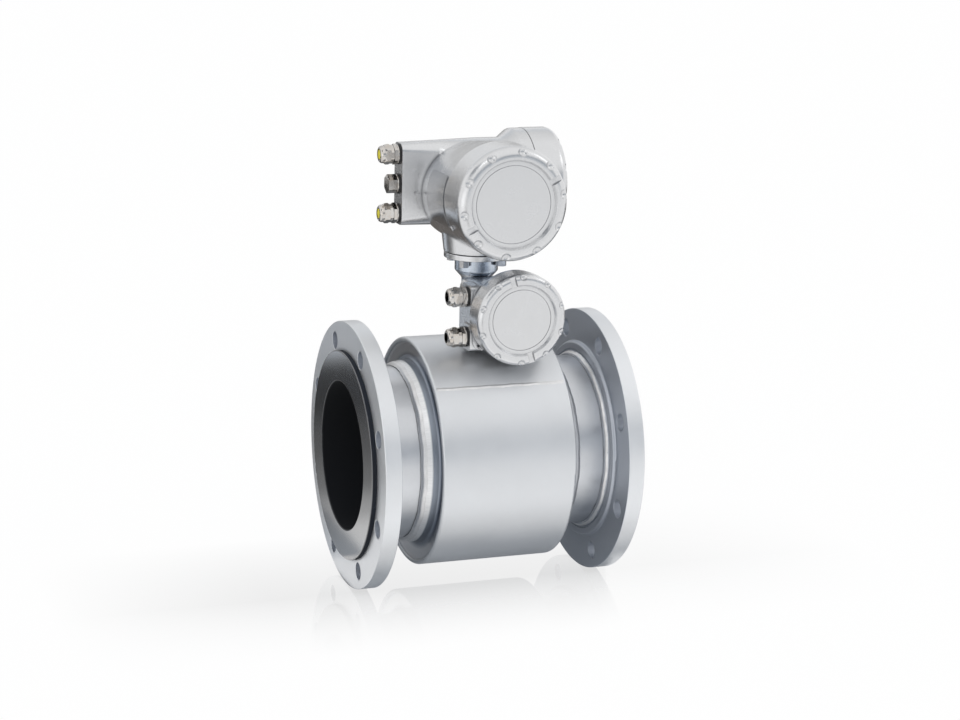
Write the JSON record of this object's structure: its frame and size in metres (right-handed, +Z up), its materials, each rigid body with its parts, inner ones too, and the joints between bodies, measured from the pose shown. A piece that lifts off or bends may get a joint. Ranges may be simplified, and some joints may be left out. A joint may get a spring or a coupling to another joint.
{
  "type": "electromagnetic flow meter",
  "caption": "Flanged electromagnetic flow meter: lined tube in a round coil housing, round junction box on a column and a stainless converter housing with screwed covers on top.",
  "frame": {"origin": "on the flow axis, half way between the two sealing faces", "axes": "+X along the flow axis towards the outlet flange, -Y the way the display cover faces, +Z up towards the converter"},
  "size_m": [0.35, 0.34, 0.577],
  "materials": {
    "liner_rubber": "matt",
    "tube_steel": "satin",
    "flange_steel": "satin",
    "housing_steel": "satin",
    "cast_steel": "fine blasted",
    "plate_steel": "satin",
    "electrode_steel": "polished",
    "screw_steel": "bright",
    "nickel_brass": "nickel plated",
    "iron": "plain",
    "copper_winding": "varnished",
    "black_rubber": "matt",
    "yellow_plastic": "matt",
    "grey_plastic": "matt",
    "terminal_plastic": "matt",
    "circuit_board": "satin",
    "cable_sheath": "matt"
  },
  "bodies": {
    "meter": {"blanking_plug": "nickel_brass", "coil_housing": "housing_steel", "converter_housing": "cast_steel", "display_lock_screw": "screw_steel", "electronics_board": "circuit_board", "electronics_carrier": "grey_plastic", "front_electrode": "electrode_steel", "inlet_end_plate": "housing_steel", "inlet_flange": "flange_steel", "interface_harness": "cable_sheath", "junction_body": "cast_steel", "junction_lock_screw": "screw_steel", "junction_terminal_block": "terminal_plastic", "liner": "liner_rubber", "lower_coil": "copper_winding", "lower_gland_body": "nickel_brass", "lower_gland_washer": "black_rubber", "lower_pole_shoe": "iron", "measuring_tube": "tube_steel", "neck_gasket": "black_rubber", "neck_screw_1": "screw_steel", "neck_screw_2": "screw_steel", "neck_screw_3": "screw_steel", "neck_screw_4": "screw_steel", "outlet_end_plate": "housing_steel", "outlet_flange": "flange_steel", "plug_washer": "black_rubber", "power_gland_body": "nickel_brass", "power_gland_washer": "black_rubber", "rear_electrode": "electrode_steel", "return_yoke": "iron", "seal_eyelet": "plate_steel", "sensor_harness": "cable_sheath", "side_plate": "plate_steel", "signal_gland_body": "nickel_brass", "signal_gland_washer": "black_rubber", "terminal_block": "terminal_plastic", "terminal_lock_screw": "screw_steel", "terminal_plate": "grey_plastic", "upper_coil": "copper_winding", "upper_gland_body": "nickel_brass", "upper_gland_washer": "black_rubber", "upper_pole_shoe": "iron"},
    "display_seal": {"display_o_ring": "black_rubber"},
    "display_lid": {"display_cover": "cast_steel"},
    "terminal_seal": {"terminal_o_ring": "black_rubber"},
    "terminal_lid": {"terminal_cover": "cast_steel"},
    "junction_seal": {"junction_o_ring": "black_rubber"},
    "junction_lid": {"junction_cover": "cast_steel"},
    "upper_gland_seal": {"upper_gland_insert": "black_rubber"},
    "upper_gland_cap": {"upper_gland_nut": "nickel_brass"},
    "lower_gland_seal": {"lower_gland_insert": "black_rubber"},
    "lower_gland_cap": {"lower_gland_nut": "nickel_brass"},
    "power_gland_seal": {"power_gland_insert": "black_rubber"},
    "power_gland_cap": {"power_gland_nut": "nickel_brass", "power_gland_dust_plug": "yellow_plastic"},
    "signal_gland_seal": {"signal_gland_insert": "black_rubber"},
    "signal_gland_cap": {"signal_gland_nut": "nickel_brass", "signal_gland_dust_plug": "yellow_plastic"}
  },
  "joints": [
    {"name": "display_draw", "type": "slide", "parent": "meter", "child": "display_seal", "axis": [0, -1, 0], "range_m": [0, 0.012]},
    {"name": "display_turn", "type": "hinge", "parent": "display_seal", "child": "display_lid", "pos_m": [0, -0.0895, 0.3365], "axis": [0, -1, 0], "range_deg": [0, 2160]},
    {"name": "terminal_draw", "type": "slide", "parent": "meter", "child": "terminal_seal", "axis": [1, 0, 0], "range_m": [0, 0.012]},
    {"name": "terminal_turn", "type": "hinge", "parent": "terminal_seal", "child": "terminal_lid", "pos_m": [0.071, 0.038, 0.3385], "axis": [1, 0, 0], "range_deg": [0, 2160]},
    {"name": "junction_draw", "type": "slide", "parent": "meter", "child": "junction_seal", "axis": [0, -1, 0], "range_m": [0, 0.01]},
    {"name": "junction_turn", "type": "hinge", "parent": "junction_seal", "child": "junction_lid", "pos_m": [0.022, -0.0844, 0.1886], "axis": [0, -1, 0], "range_deg": [0, 1800]},
    {"name": "upper_gland_draw", "type": "slide", "parent": "meter", "child": "upper_gland_seal", "axis": [-1, 0, 0], "range_m": [0, 0.004]},
    {"name": "upper_gland_turn", "type": "hinge", "parent": "upper_gland_seal", "child": "upper_gland_cap", "pos_m": [-0.032, -0.057, 0.21], "axis": [-1, 0, 0], "range_deg": [0, 960]},
    {"name": "lower_gland_draw", "type": "slide", "parent": "meter", "child": "lower_gland_seal", "axis": [-1, 0, 0], "range_m": [0, 0.004]},
    {"name": "lower_gland_turn", "type": "hinge", "parent": "lower_gland_seal", "child": "lower_gland_cap", "pos_m": [-0.032, -0.057, 0.159], "axis": [-1, 0, 0], "range_deg": [0, 960]},
    {"name": "power_gland_draw", "type": "slide", "parent": "meter", "child": "power_gland_seal", "axis": [-1, 0, 0], "range_m": [0, 0.004]},
    {"name": "power_gland_turn", "type": "hinge", "parent": "power_gland_seal", "child": "power_gland_cap", "pos_m": [-0.093, 0.038, 0.3758], "axis": [-1, 0, 0], "range_deg": [0, 960]},
    {"name": "signal_gland_draw", "type": "slide", "parent": "meter", "child": "signal_gland_seal", "axis": [-1, 0, 0], "range_m": [0, 0.004]},
    {"name": "signal_gland_turn", "type": "hinge", "parent": "signal_gland_seal", "child": "signal_gland_cap", "pos_m": [-0.093, 0.038, 0.3012], "axis": [-1, 0, 0], "range_deg": [0, 960]}
  ],
  "couplings": [
    {"joint": "display_draw", "follows": "display_turn", "m_per_rad": 0.00031831},
    {"joint": "terminal_draw", "follows": "terminal_turn", "m_per_rad": 0.00031831},
    {"joint": "junction_draw", "follows": "junction_turn", "m_per_rad": 0.00031831},
    {"joint": "upper_gland_draw", "follows": "upper_gland_turn", "m_per_rad": 0.00023873},
    {"joint": "lower_gland_draw", "follows": "lower_gland_turn", "m_per_rad": 0.00023873},
    {"joint": "power_gland_draw", "follows": "power_gland_turn", "m_per_rad": 0.00023873},
    {"joint": "signal_gland_draw", "follows": "signal_gland_turn", "m_per_rad": 0.00023873}
  ]
}
